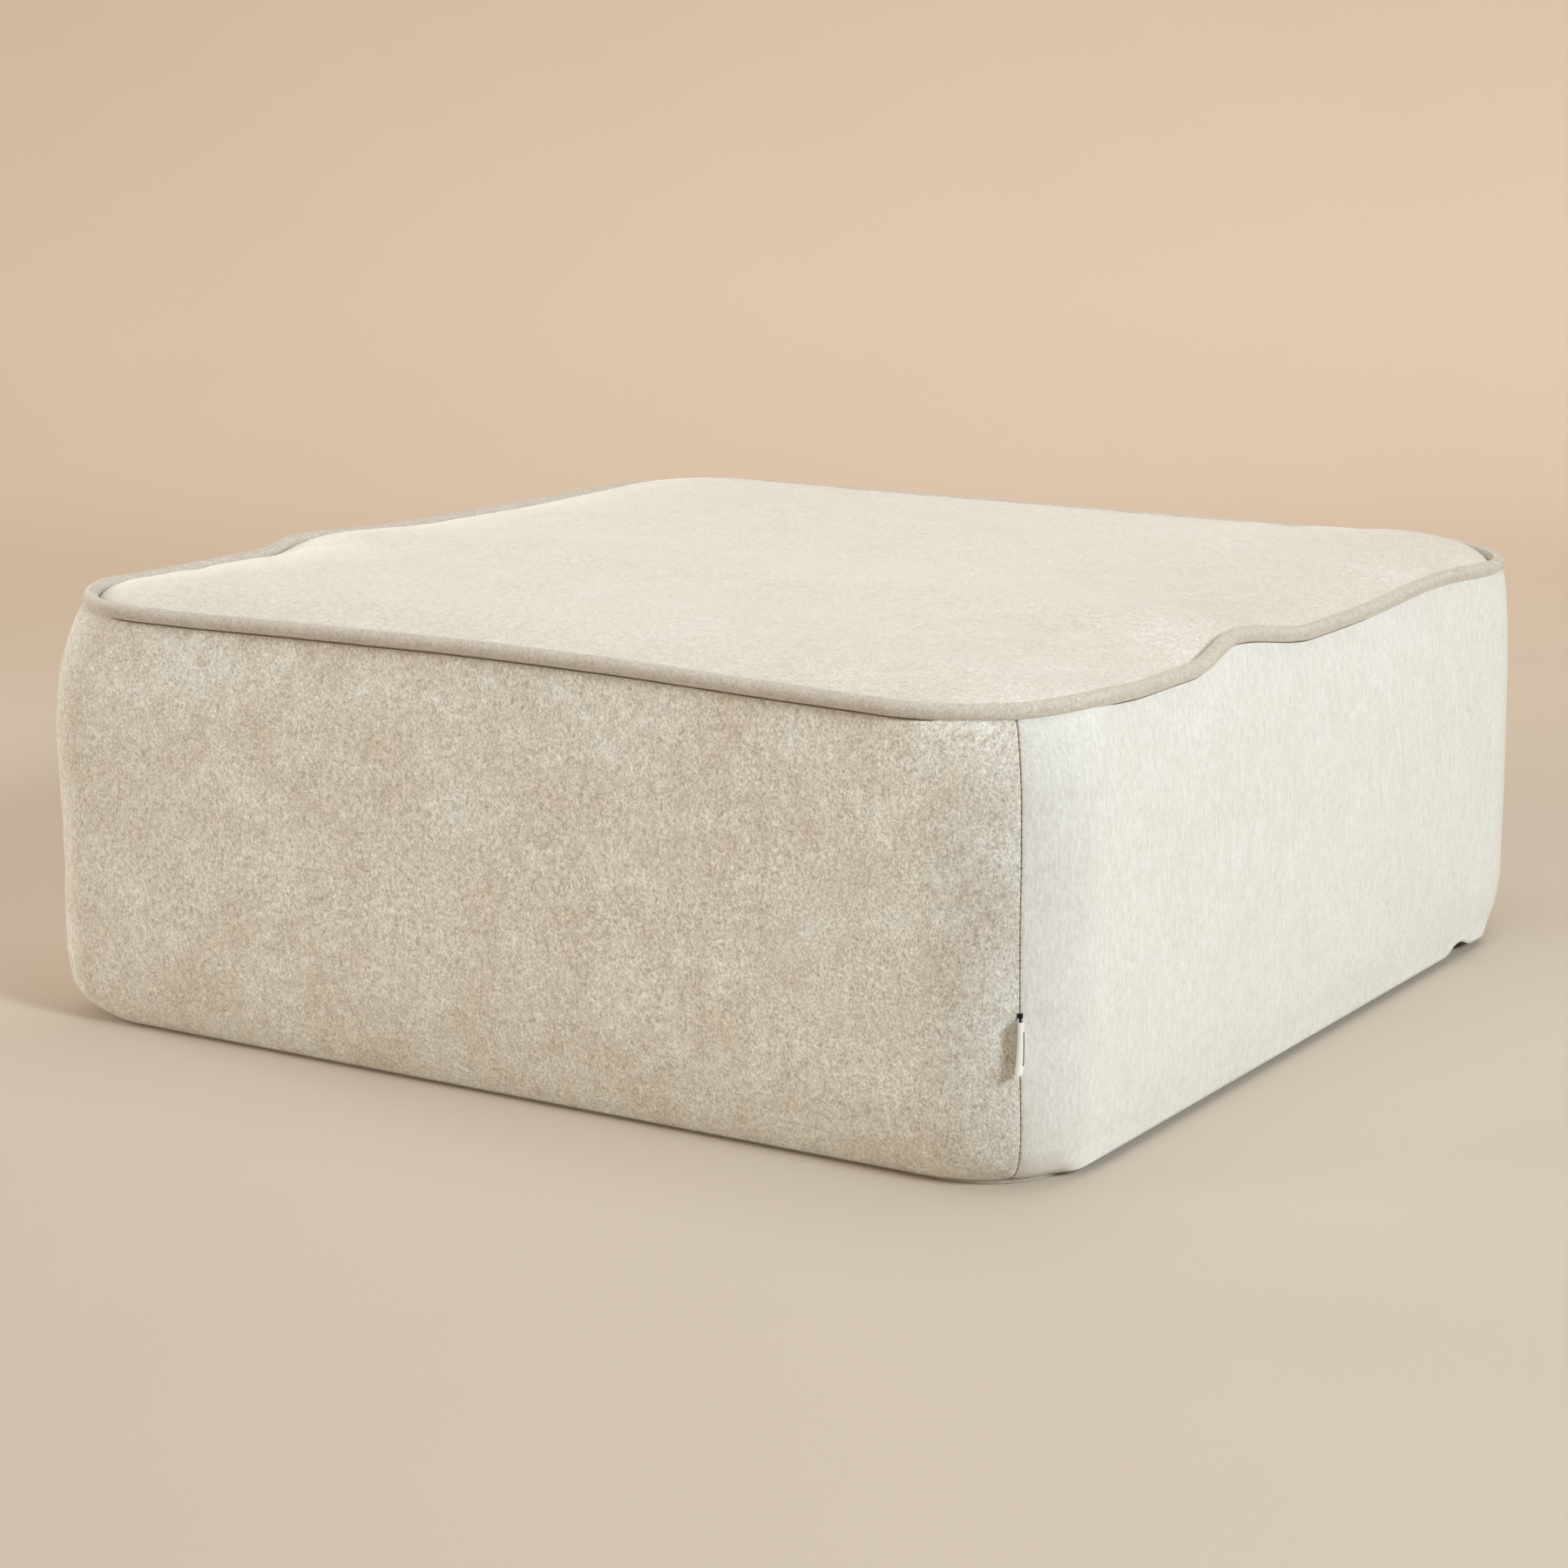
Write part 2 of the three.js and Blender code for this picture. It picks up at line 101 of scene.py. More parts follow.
def side_point(t, half, first_radius, last_radius):
    """Points on the right side, from the front-right corner's middle (t 0) to the rear-right's (t 1)."""
    t = np.asarray(t, float)
    start = np.radians(-45 + 45 * np.clip(t / ARC_SHARE, 0, 1))
    end = np.radians(45 * np.clip((t - 1 + ARC_SHARE) / ARC_SHARE, 0, 1))
    run = np.clip((t - ARC_SHARE) / (1 - 2 * ARC_SHARE), 0, 1)
    low, high = first_radius - half, half - last_radius
    radius = np.where(t < 0.5, first_radius, last_radius)
    x = half - radius + radius * np.cos(start + end)
    y = low + (high - low) * run + first_radius * np.sin(start) + last_radius * np.sin(end)
    return x, y


def loop_point(k, t, half, first_radius, last_radius):
    """Points on side k, counted anticlockwise from the right one."""
    x, y = side_point(t, half, first_radius, last_radius)
    for _ in range(k):
        x, y = -y, x
    return x, y


def edge_distance(x, y, half, radius):
    """How far inside the rounded square a plan point is."""
    qx, qy = np.abs(x) - (half - radius), np.abs(y) - (half - radius)
    outside = np.hypot(np.maximum(qx, 0), np.maximum(qy, 0))
    return radius - outside - np.minimum(np.maximum(qx, qy), 0)


def smooth(t):
    t = np.clip(t, 0, 1)
    return t * t * (3 - 2 * t)


def hump(y, crest, front, rear):
    """Rises in a wave over front, then falls over rear, at first steeply and then out to nothing."""
    t = np.where(y < crest, (crest - y) / front, (y - crest) / rear)
    wave = 0.5 * (1 + np.cos(np.pi * np.clip(t, 0, 1)))
    return np.where(y < crest, wave, 0.5 * wave + 0.5 * np.clip(1 - t, 0, 1))


def ridge(x, y):
    """The low step across the top, where the rear foam stands proud: sharper at the right."""
    u = np.clip(x / HALF / 2 + 0.5, 0, 1)
    crest = (-104 - 24 * u) * MM
    inner = 1 - 0.66 * np.sin(np.pi * u) ** 0.7
    right = 13.2 * hump(y, crest, 62 * MM, 104 * MM)
    left = 6.0 * hump(y, crest, 46 * MM, 110 * MM)
    return (left * (1 - u) + right * u) * inner * MM


def swell(x, y):
    total = 0
    for cx, cy, reach, height in SWELLS:
        across = 90 * MM
        if abs(cx) > abs(cy):
            d = np.hypot((y - cy * MM) / (reach * MM), (x - cx * MM) / across)
        else:
            d = np.hypot((x - cx * MM) / (reach * MM), (y - cy * MM) / across)
        total = total + height * MM * 0.5 * (1 + np.cos(np.pi * np.clip(d, 0, 1)))
    return total


def piping_height(x, y):
    u = np.clip(x / HALF / 2 + 0.5, 0, 1)
    v = np.clip(y / HALF / 2 + 0.5, 0, 1)
    fl, fr, rr, rl = CORNER_LIFT
    tilt = fl * (1 - u) * (1 - v) + fr * u * (1 - v) + rr * u * v + rl * (1 - u) * v
    return PIPE_Z + tilt + ridge(x, y) + swell(x, y)


# ---- Mesh helpers -------------------------------------------------------------------------------

def new_object(name, verts, faces, material=None):
    mesh = bpy.data.meshes.new(name)
    mesh.from_pydata([tuple(v) for v in verts], [], [tuple(f) for f in faces])
    mesh.validate()
    mesh.update()
    obj = bpy.data.objects.new(name, mesh)
    SCENE.collection.objects.link(obj)
    for p in mesh.polygons:
        p.use_smooth = True
    if material:
        mesh.materials.append(material)
    return obj


def grid_faces(rows, cols, wrap=False):
    """Quads of a grid of points stored row by row."""
    i, j = np.meshgrid(np.arange(rows - 1), np.arange(cols if wrap else cols - 1), indexing="ij")
    a = i * cols + j
    b = i * cols + (j + 1) % cols
    return np.stack([a, b, b + cols, a + cols], -1).reshape(-1, 4)


def tube(points, radius, sides=8, closed=False, radii=None):
    """Vertices and faces of a round tube along points, with closed ends if it is open."""
    points = np.asarray(points, float)
    n = len(points)
    if closed:
        tangent = np.roll(points, -1, 0) - np.roll(points, 1, 0)
    else:
        tangent = np.gradient(points, axis=0)
    tangent /= np.linalg.norm(tangent, axis=1)[:, None]
    up = np.array([0.0, 0.0, 1.0])
    if abs(tangent @ up).max() > 0.95:
        up = np.array([0.31, 0.83, 0.46])
    side = np.cross(up, tangent)
    side /= np.linalg.norm(side, axis=1)[:, None]
    over = np.cross(tangent, side)
    a = np.arange(sides) * 2 * np.pi / sides
    r = np.full(n, radius) if radii is None else np.asarray(radii)
    ring = side[:, None] * np.cos(a)[None, :, None] + over[:, None] * np.sin(a)[None, :, None]
    verts = (points[:, None] + ring * r[:, None, None]).reshape(-1, 3)
    faces = [list(f) for f in grid_faces(n, sides, wrap=True)]
    if closed:
        last = (n - 1) * sides
        faces += [[last + j, last + (j + 1) % sides, (j + 1) % sides, j] for j in range(sides)]
    else:
        faces.append(list(range(sides))[::-1])
        faces.append([(n - 1) * sides + j for j in range(sides)])
    return verts, faces


def merged(parts):
    """One vertex and face list from several."""
    verts, faces, start = [], [], 0
    for v, f in parts:
        verts.append(np.asarray(v, float))
        faces += [[start + i for i in q] for q in f]
        start += len(v)
    return np.concatenate(verts), faces


def modifier(obj, kind, **settings):
    m = obj.modifiers.new(kind.title(), kind)
    for key, value in settings.items():
        setattr(m, key, value)
    return m


# ---- Materials ----------------------------------------------------------------------------------

def material(name, roughness=0.9, **inputs):
    mat = bpy.data.materials.new(name)
    mat.use_nodes = True
    bsdf = mat.node_tree.nodes["Principled BSDF"]
    bsdf.inputs["Roughness"].default_value = roughness
    for key, value in inputs.items():
        bsdf.inputs[key.replace("_", " ")].default_value = value
    return mat, mat.node_tree, bsdf


def add_node(tree, kind, **settings):
    node = tree.nodes.new(kind)
    for key, value in settings.items():
        setattr(node, key, value)
    return node


def noise(tree, scale, detail=2.0, roughness=0.5, stretch=(1, 1, 1), distortion=0.0):
    """A noise over object space; stretch divides its frequency along each axis."""
    coord = add_node(tree, "ShaderNodeTexCoord")
    mapping = add_node(tree, "ShaderNodeMapping")
    mapping.inputs["Scale"].default_value = [1 / s for s in stretch]
    tex = add_node(tree, "ShaderNodeTexNoise")
    tex.inputs["Scale"].default_value = scale
    tex.inputs["Detail"].default_value = detail
    tex.inputs["Roughness"].default_value = roughness
    tex.inputs["Distortion"].default_value = distortion
    tree.links.new(coord.outputs["Object"], mapping.inputs["Vector"])
    tree.links.new(mapping.outputs["Vector"], tex.inputs["Vector"])
    return tex.outputs["Fac"]


def ramp(tree, value, low, high):
    """value mapped so that low becomes 0 and high becomes 1."""
    node = add_node(tree, "ShaderNodeMapRange", clamp=True)
    node.inputs["From Min"].default_value = low
    node.inputs["From Max"].default_value = high
    tree.links.new(value, node.inputs["Value"])
    return node.outputs["Result"]


def mix(tree, factor, a, b, blend="MIX"):
    """Mixes two colours; each is a link or a colour, and so is the factor."""
    node = add_node(tree, "ShaderNodeMix", data_type="RGBA", blend_type=blend)
    for socket, value in zip((0, 6, 7), (factor, a, b)):
        if isinstance(value, bpy.types.NodeSocket):
            tree.links.new(value, node.inputs[socket])
        else:
            node.inputs[socket].default_value = value if socket == 0 else (*value, 1)
    return node.outputs[2]


def bump_node(tree, height, distance, strength, normal=None):
    node = add_node(tree, "ShaderNodeBump")
    node.inputs["Distance"].default_value = distance
    node.inputs["Strength"].default_value = strength
    tree.links.new(height, node.inputs["Height"])
    if normal is not None:
        tree.links.new(normal, node.inputs["Normal"])
    return node.outputs["Normal"]


def grey(level):
    return (level, level, level)


def layered(tree, layers, stretch):
    """A sum of noises round zero: each layer is a scale and a weight."""
    total = None
    for scale, weight in layers:
        node = add_node(tree, "ShaderNodeMath", operation="MULTIPLY_ADD")
        node.inputs[1].default_value = weight
        node.inputs[2].default_value = -0.5 * weight
        tree.links.new(noise(tree, scale, 2.5, 0.6, stretch=stretch), node.inputs[0])
        if total is not None:
            join = add_node(tree, "ShaderNodeMath", operation="ADD")
            tree.links.new(total, join.inputs[0])
            tree.links.new(node.outputs[0], join.inputs[1])
            total = join.outputs[0]
        else:
            total = node.outputs[0]
    return total


def painted_corner_shade(tree, colour, shade):
    """Painted shade: where the cloth turns the front-right corner, at a large x - y, its colour is darkened
    by the factor shade.
    """
    coord = add_node(tree, "ShaderNodeTexCoord")
    across = add_node(tree, "ShaderNodeVectorMath", operation="DOT_PRODUCT")
    across.inputs[1].default_value = (1, -1, 0)
    tree.links.new(coord.outputs["Object"], across.inputs[0])
    near = ramp(tree, across.outputs["Value"], 0.712, 0.752)
    return mix(tree, near, colour, mix(tree, 1.0, colour, grey(shade), "MULTIPLY"))


def plush(name, light, dark, streak, grain=1.0, cloud=1.0, sheen=0.42, corner=None):
    """Short-pile plush: clouds where the pile lies differently, and its tips as a fine grain. corner, if
    given, is the factor of painted shade at the front-right corner.
    """
    mat, tree, bsdf = material(
        name, 0.93, Sheen_Weight=sheen, Sheen_Roughness=0.5, Sheen_Tint=(1, 0.99, 0.96, 1),
        Specular_IOR_Level=0.1)
    cloud_shape = tuple(1 + 0.25 * (v - 1) for v in streak)
    clouds = layered(tree, ((5.5, 1.1 * cloud), (22, 1.4 * cloud), (70, 1.4 * cloud)), cloud_shape)
    grain_layers = ((150, 0.5 * grain), (300, 1.2 * grain), (620, 2.3 * grain), (1100, 2.2 * grain))
    grains = layered(tree, grain_layers, streak)
    tone = ramp(tree, clouds, -0.5, 0.5)
    colour = mix(tree, tone, dark, light)
    # Painted shade: the colour darkens towards the front-right corner.
    if corner:
        colour = painted_corner_shade(tree, colour, corner)
    tip = mix(tree, ramp(tree, grains, -0.92, 0.92), (0.53, 0.49, 0.435), (1.38, 1.41, 1.45))
    tree.links.new(mix(tree, 1.0, colour, tip, "MULTIPLY"), bsdf.inputs["Base Color"])
    normal = bump_node(tree, noise(tree, 90, 3, 0.6, stretch=streak), 1.0 * MM, 0.3)
    normal = bump_node(tree, grains, 0.28 * MM, 0.7 * grain, normal)
    tree.links.new(normal, bsdf.inputs["Normal"])
    return mat


def woven(name, colour, thread=0.35 * MM, contrast=0.25, roughness=0.85):
    """A plain weave: crossed threads from two waves, with a little unevenness."""
    mat, tree, bsdf = material(name, roughness, Specular_IOR_Level=0.2)
    coord = add_node(tree, "ShaderNodeTexCoord")
    waves = []
    for axis in ("X", "Y", "Z"):
        wave = add_node(tree, "ShaderNodeTexWave", bands_direction=axis)
        wave.inputs["Scale"].default_value = 0.31 / thread / 2
        wave.inputs["Distortion"].default_value = 0.6
        tree.links.new(coord.outputs["Object"], wave.inputs["Vector"])
        waves.append(wave.outputs["Fac"])
    weave = mix(tree, 0.5, mix(tree, 1.0, waves[0], waves[1], "DIFFERENCE"), waves[2])
    shade = mix(tree, weave, tuple(c * (1 - contrast) for c in colour), colour)
    darker = mix(tree, 1.0, shade, grey(0.93), "MULTIPLY")
    shade = mix(tree, ramp(tree, noise(tree, 25, 4), 0.3, 0.7), darker, shade)
    tree.links.new(shade, bsdf.inputs["Base Color"])
    tree.links.new(bump_node(tree, weave, thread * 0.5, 0.5), bsdf.inputs["Normal"])
    return mat


def foam(name, colour):
    """Open-cell foam: a fine cell pattern, cut cells and slight yellowing."""
    mat, tree, bsdf = material(name, 0.95, Specular_IOR_Level=0.1, Subsurface_Weight=0.1)
    cells = add_node(tree, "ShaderNodeTexVoronoi")
    cells.inputs["Scale"].default_value = 900
    coord = add_node(tree, "ShaderNodeTexCoord")
    tree.links.new(coord.outputs["Object"], cells.inputs["Vector"])
    shade = mix(tree, ramp(tree, cells.outputs["Distance"], 0.1, 0.6), tuple(c * 0.8 for c in colour), colour)
    yellow = tuple(c * k for c, k in zip(colour, (0.98, 0.92, 0.76)))
    shade = mix(tree, ramp(tree, noise(tree, 6, 5), 0.45, 0.75), shade, mix(tree, 0.5, shade, yellow))
    tree.links.new(shade, bsdf.inputs["Base Color"])
    tree.links.new(bump_node(tree, cells.outputs["Distance"], 0.5 * MM, 0.6), bsdf.inputs["Normal"])
    return mat


def metal(name, colour, roughness):
    """Plated metal with fine rubbed scratches and dull patches."""
    mat, tree, bsdf = material(name, roughness, Metallic=1.0)
    wear = ramp(tree, noise(tree, 900, 4, 0.7, stretch=(1, 6, 1)), 0.35, 0.7)
    tree.links.new(mix(tree, wear, tuple(c * 0.6 for c in colour), colour), bsdf.inputs["Base Color"])
    rough = ramp(tree, noise(tree, 350, 3), 0.2, 0.8)
    scaled = add_node(tree, "ShaderNodeMapRange")
    scaled.inputs["To Min"].default_value = roughness * 0.7
    scaled.inputs["To Max"].default_value = roughness * 1.4
    tree.links.new(rough, scaled.inputs["Value"])
    tree.links.new(scaled.outputs["Result"], bsdf.inputs["Roughness"])
    tree.links.new(bump_node(tree, wear, 0.05 * MM, 0.3), bsdf.inputs["Normal"])
    return mat


def thread(name, colour, sheen=0.2):
    """Sewing thread: fine twisted ply."""
    mat, tree, bsdf = material(name, 0.8, Sheen_Weight=sheen, Specular_IOR_Level=0.2)
    twist = noise(tree, 2600, 2, stretch=(1, 1, 2))
    tree.links.new(mix(tree, ramp(tree, twist, 0.3, 0.7), tuple(c * 0.7 for c in colour), colour),
                   bsdf.inputs["Base Color"])
    tree.links.new(bump_node(tree, twist, 0.1 * MM, 0.4), bsdf.inputs["Normal"])
    return mat


# The two bands stand for one cloth. Their tones differ only by painted light and shade: the front-left band's
# colours are painted darker and browner as shade, and the right-back band's are painted lighter and whiter as
# light.
MATS = {
    "top": plush("plush_top", (0.80, 0.775, 0.715), (0.73, 0.69, 0.61), (1.5, 1, 1), grain=0.55, cloud=0.75),
    "front": plush(
        "plush_front_left_painted_shade", (0.85, 0.845, 0.79), (0.755, 0.695, 0.60), (1, 1, 1.35), cloud=1.15, corner=0.80),
    "right": plush("plush_right_back_painted_light", (0.83, 0.835, 0.805), (0.78, 0.775, 0.73), (1, 1, 3.2), grain=0.34,
                   cloud=0.65, corner=0.86),
    "piping": plush("plush_piping", (0.64, 0.60, 0.53), (0.58, 0.53, 0.45), (1, 1, 1), grain=0.6, cloud=0.6),
    "base": woven("base_cloth", (0.58, 0.52, 0.43), 0.8 * MM),
    "tape": woven("zip_tape", (0.66, 0.60, 0.50), 0.4 * MM),
    "label": woven("label_cloth", (0.95, 0.93, 0.93), 0.25 * MM, 0.05, 0.6),
    "label_print": thread("label_stripe_thread", (0.02, 0.02, 0.03), 0),
    "care": woven("care_label_cloth", (0.88, 0.88, 0.86), 0.2 * MM, 0.08, 0.45),
    "liner": woven("liner_cloth", (0.85, 0.84, 0.80), 0.5 * MM, 0.12),
    "cord": thread("filler_cord", (0.84, 0.80, 0.72)),
    "fibre": plush(
        "polyester_fibre", (0.93, 0.93, 0.92), (0.86, 0.86, 0.84), (1, 1, 1), cloud=0.5, sheen=0.6),
    "foam_firm": foam("foam_firm", (0.80, 0.72, 0.48)),
    "foam_soft": foam("foam_soft", (0.86, 0.82, 0.64)),
    "metal": metal("zip_metal", (0.10, 0.10, 0.10), 0.35),
    "teeth": thread("zip_coil_nylon", (0.60, 0.55, 0.45)),
    # Dark brown thread: the corner stitches, and also the painted shade of the crease under the piping.
    "dark_thread_and_crease_shade": thread("dark_thread_and_crease_shade", (0.20, 0.165, 0.13)),
    "black_thread": thread("tack_thread", (0.006, 0.006, 0.006), 0),
}


# ---- Cloth simulation ---------------------------------------------------------------------------

def inflate(name, verts, faces, pinned, pressure, cap):
    """How far each point of a cloth moves, held at its pinned points and pushed out by its filling."""
    obj = new_object(name, verts, faces)
    group = obj.vertex_groups.new(name="seam")
    group.add([int(i) for i in np.flatnonzero(pinned)], 1.0, "REPLACE")
    cloth = modifier(obj, "CLOTH").settings
    cloth.quality = 5
    cloth.mass = 0.35
    cloth.tension_stiffness = cloth.compression_stiffness = 28
    cloth.shear_stiffness = 12
    cloth.bending_stiffness = 3
    cloth.air_damping = 2
    cloth.vertex_group_mass = "seam"
    cloth.use_pressure = True
    cloth.uniform_pressure_force = pressure
    cloth.shrink_min = -0.004
    cloth.effector_weights.gravity = 0
    for number in range(1, 21):
        SCENE.frame_set(number)
    evaluated = obj.evaluated_get(bpy.context.evaluated_depsgraph_get())
    co = np.zeros(len(verts) * 3)
    evaluated.data.vertices.foreach_get("co", co)
    moved = co.reshape(-1, 3) - verts
    bpy.data.objects.remove(obj)
    SCENE.frame_set(1)
    length = np.linalg.norm(moved, axis=1, keepdims=True)
    return moved * np.tanh(length / cap) * cap / np.maximum(length, 1e-9)


# ---- Top panel ----------------------------------------------------------------------------------

TOP_INSET = 5.2 * MM  # from the piping's centre line in to the top panel's seam
TOP_HALF = HALF - TOP_INSET
TOP_CORNER = PIPE_CORNER - TOP_INSET


def crown(distance):
    """How far the top stands above its seam, by the distance from the seam."""
    lip = 8.2 * (1 - np.exp(-distance / (17 * MM)))
    dome = 5.0 * np.sin(np.clip(distance / (220 * MM), 0, 1) * np.pi / 2)
    return (lip + dome) * MM


def fuller_corners(x, y):
    """The filling pushes the rear corners up more."""
    rear_right = np.exp(-((x - 0.35) ** 2 + (y - 0.36) ** 2) / 0.11 ** 2)
    rear_left = np.exp(-((x + 0.36) ** 2 + (y - 0.36) ** 2) / 0.14 ** 2)
    return 1 + 0.42 * rear_right + 0.08 * rear_left


def top_plan():
    """Plan points of the top's grid: square in the middle, on the rounded outline at the edge.

    Also how far out each is, from 0 in the middle to 1 at the seam.
    """
    axis = np.linspace(-1, 1, SIDE_STEPS + 1)
    v, u = np.meshgrid(axis, axis, indexing="ij")
    m = np.maximum(np.abs(u), np.abs(v))
    x, y = u * TOP_HALF, v * TOP_HALF
    outline_x, outline_y = np.zeros_like(u), np.zeros_like(u)
    rim = np.maximum(m, 1e-9)
    sides = (
        (u >= np.abs(v), v), (v >= np.abs(u), -u), (-u >= np.abs(v), -v), (-v >= np.abs(u), u))
    for k, (inside, along) in enumerate(sides):
        t = np.clip((along / rim + 1) / 2, 0, 1)
        px, py = loop_point(k, t, TOP_HALF, TOP_CORNER, TOP_CORNER)
        outline_x, outline_y = np.where(inside, px * m, outline_x), np.where(inside, py * m, outline_y)
    share = smooth(m) ** 1.5
    return x * (1 - share) + outline_x * share, y * (1 - share) + outline_y * share, m


def around(grid):
    """The outermost points of a square grid, once round."""
    return np.concatenate([grid[0, :-1], grid[:-1, -1], grid[-1, :0:-1], grid[:0:-1, 0]])


def turned_down(verts, faces):
    """Adds the seam allowance: the cloth turns down behind the piping."""
    count = SIDE_STEPS + 1
    ring = around(verts.reshape(count, count, 3))
    rim = around(np.arange(len(verts)).reshape(count, count))
    inward = ring * [1, 1, 0]
    inward /= np.linalg.norm(inward, axis=1)[:, None]
    lips = [ring - inward * 1.5 * MM - [0, 0, 1.6 * MM], ring - inward * 7 * MM - [0, 0, 2.2 * MM]]
    faces = [list(f) for f in faces]
    outer, inner = len(verts), len(verts) + len(ring)
    for j in range(len(ring)):
        k = (j + 1) % len(ring)
        faces.append([rim[k], rim[j], outer + j, outer + k])
        faces.append([outer + k, outer + j, inner + j, inner + k])
    return np.concatenate([verts, *lips]), faces


def top_panel():
    x, y, m = top_plan()
    distance = np.maximum(edge_distance(x, y, TOP_HALF, TOP_CORNER), 0)
    fuller = fuller_corners(x, y)
    z = piping_height(x, y) - 0.6 * MM + crown(distance) * fuller
    z = z + (fuller - 1) * 5 * MM * smooth(distance / (5 * MM))
    verts = np.stack([x, y, z], -1).reshape(-1, 3)
    faces = grid_faces(SIDE_STEPS + 1, SIDE_STEPS + 1)
    rim = (m >= 1 - 1e-6).reshape(-1)
    verts = verts + inflate("sim_top", verts, faces, rim, 4.0, 6 * MM)
    obj = new_object("top_panel_cloth", *turned_down(verts, faces), MATS["top"])
    modifier(obj, "SUBSURF", levels=1, render_levels=1)
    modifier(obj, "SOLIDIFY", thickness=CLOTH, offset=-1)
    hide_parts("top_panel")
    return obj


# ---- Side bands ---------------------------------------------------------------------------------

ROWS = 46
SEAM_ASIDE = 2.1 * MM  # how far along x and y the front-right seam wanders to the front at mid height
SEAM_X_MINUS_Y = 760 * MM  # x - y of the plan points by that corner
SEAM_REACH = 120 * MM  # how far to each side of it the cloth goes with it


def right_flap(x, y):
    """1 along the flap over the zip at the foot of the right side, 0 elsewhere."""
    return np.where(x > 0.6 * HALF, smooth((FLAP_REACH + FLAP_FADE - np.abs(y)) / FLAP_FADE), 0)


def slider_opening(y):
    """1 where the flap is tucked up round the parked slider."""
    return smooth((OPENING_HALF - np.abs(y - OPENING_Y)) / OPENING_FADE)


def smooth_profile():
    """The profile on an even set of heights, with its kinks rounded off."""
    knots = SIDE_PROFILE[:, 0]
    fine = np.linspace(knots[0], knots[-1], 500)
    kernel = np.hanning(13)
    kernel /= kernel.sum()
    columns = []
    for column in (1, 2):
        values = np.interp(fine, knots, SIDE_PROFILE[:, column])
        columns.append(np.convolve(np.pad(values, 6, "edge"), kernel, "valid"))
    return fine, *columns


PROFILE = smooth_profile()


def row_shares():
    """Shares of the side's height: closer together where it curves under and at the piping."""
    t = np.linspace(0, 1, ROWS)
    return t - 0.125 * np.sin(2 * np.pi * t)


def station_radii(ks, turned):
    """Each station's corner radii, at the start and the end of its side."""
    top = PIPE_CORNER - SEAM_INSET
    first = top + turned * (MIDDLE_CORNER[ks % 4] - top)
    last = top + turned * (MIDDLE_CORNER[(ks + 1) % 4] - top)
    return first, last


def stations_xy(ks, ts, half, first_radius, last_radius):
    x, y = np.zeros(len(ts)), np.zeros(len(ts))
    for k in range(4):
        px, py = loop_point(k, ts, half, first_radius, last_radius)
        x, y = np.where(ks % 4 == k, px, x), np.where(ks % 4 == k, py, y)
    return x, y


def band_grid(ks, ts):
    """The side's outer face at the given stations: an array of rows, from the base seam up."""
    low, high = PROFILE[0][0], PROFILE[0][-1]
    plan_x, plan_y = stations_xy(ks, ts, HALF, PIPE_CORNER, PIPE_CORNER)
    lift = piping_height(plan_x, plan_y) - PIPE_Z
    flap = right_flap(plan_x, plan_y)
    opening = flap * slider_opening(plan_y)
    foot = low + flap * (FLAP_EDGE_Z - low) + opening * OPENING_LIFT
    rows = []
    for share in row_shares():
        z = foot + share * (high - foot)
        half, turned = (np.interp(z, PROFILE[0], values) for values in PROFILE[1:])
        half = half + flap * np.maximum(FLAP_HALF - half, 0)
        first, last = station_radii(ks, turned)
        x, y = stations_xy(ks, ts, half, first, last)
        # The corner seam wanders sideways a little on its way down.
        at_corner = np.exp(-((x - y - SEAM_X_MINUS_Y) / SEAM_REACH) ** 2)
        aside = SEAM_ASIDE * at_corner * np.sin(np.pi * np.clip(z / high, 0, 1))
        rows.append(np.stack([x - aside, y - aside, z + lift * np.clip(z / high, 0, 1) ** 3], -1))
    return np.array(rows)


def simulated_sides():
    """The movement of the whole side wall, on an even grid of stations all the way round."""
    ks = np.repeat(np.arange(4), SIDE_STEPS)
    ts = np.tile(np.arange(SIDE_STEPS) / SIDE_STEPS, 4)
    grid = band_grid(ks, ts)
    rows, cols = grid.shape[:2]
    pinned = np.zeros((rows, cols), bool)
    pinned[0] = pinned[1] = pinned[-1] = True
    pinned[:, 0] = pinned[:, 2 * SIDE_STEPS] = True
    faces = grid_faces(rows, cols, wrap=True)
    moved = inflate("sim_side", grid.reshape(-1, 3), faces, pinned.reshape(-1), 4.0, 6 * MM)
    moved = moved.reshape(rows, cols, 3)
    # The padding under the cloth evens out the sharpest creases.
    soft = np.zeros_like(moved)
    for shift, weight in zip(range(-4, 5), (1, 2, 3, 4, 5, 4, 3, 2, 1)):
        soft += weight / 25 * np.roll(moved, shift, 1)
    away = np.minimum(np.arange(cols) % (2 * SIDE_STEPS), -np.arange(cols) % (2 * SIDE_STEPS))
    near_seam = np.exp(-(away / 5.0) ** 2)[None, :, None]
    return 0.7 * (soft * (1 - near_seam) + moved * near_seam)


def seam_stations():
    """Stations of one band, from one corner seam to the other, closer together by the seams."""
    near = np.array([0, 0.0012, 0.0026, 0.0045, 0.007])
    even = np.arange(1, SIDE_STEPS) / SIDE_STEPS
    first = np.concatenate([near, even])
    second = np.concatenate([[0], even, 1 - near[::-1]])
    return first, second


SEAM_LINE, REAR_SEAM_LINE = [], []  # the corner seams' points, from the foot up


def band_points(k, moved):
    """A band's outer face from one corner seam to the other, with its share of the movement."""
    first, second = seam_stations()
    ks = np.concatenate([np.full(len(first), k), np.full(len(second), k + 1)])
    ts = np.concatenate([first, second])
    position = ((ks + ts) * SIDE_STEPS) % (4 * SIDE_STEPS)
    low = np.floor(position).astype(int)
    part = (position - low)[None, :, None]
    high = (low + 1) % (4 * SIDE_STEPS)
    return band_grid(ks, ts) + moved[:, low] * (1 - part) + moved[:, high] * part


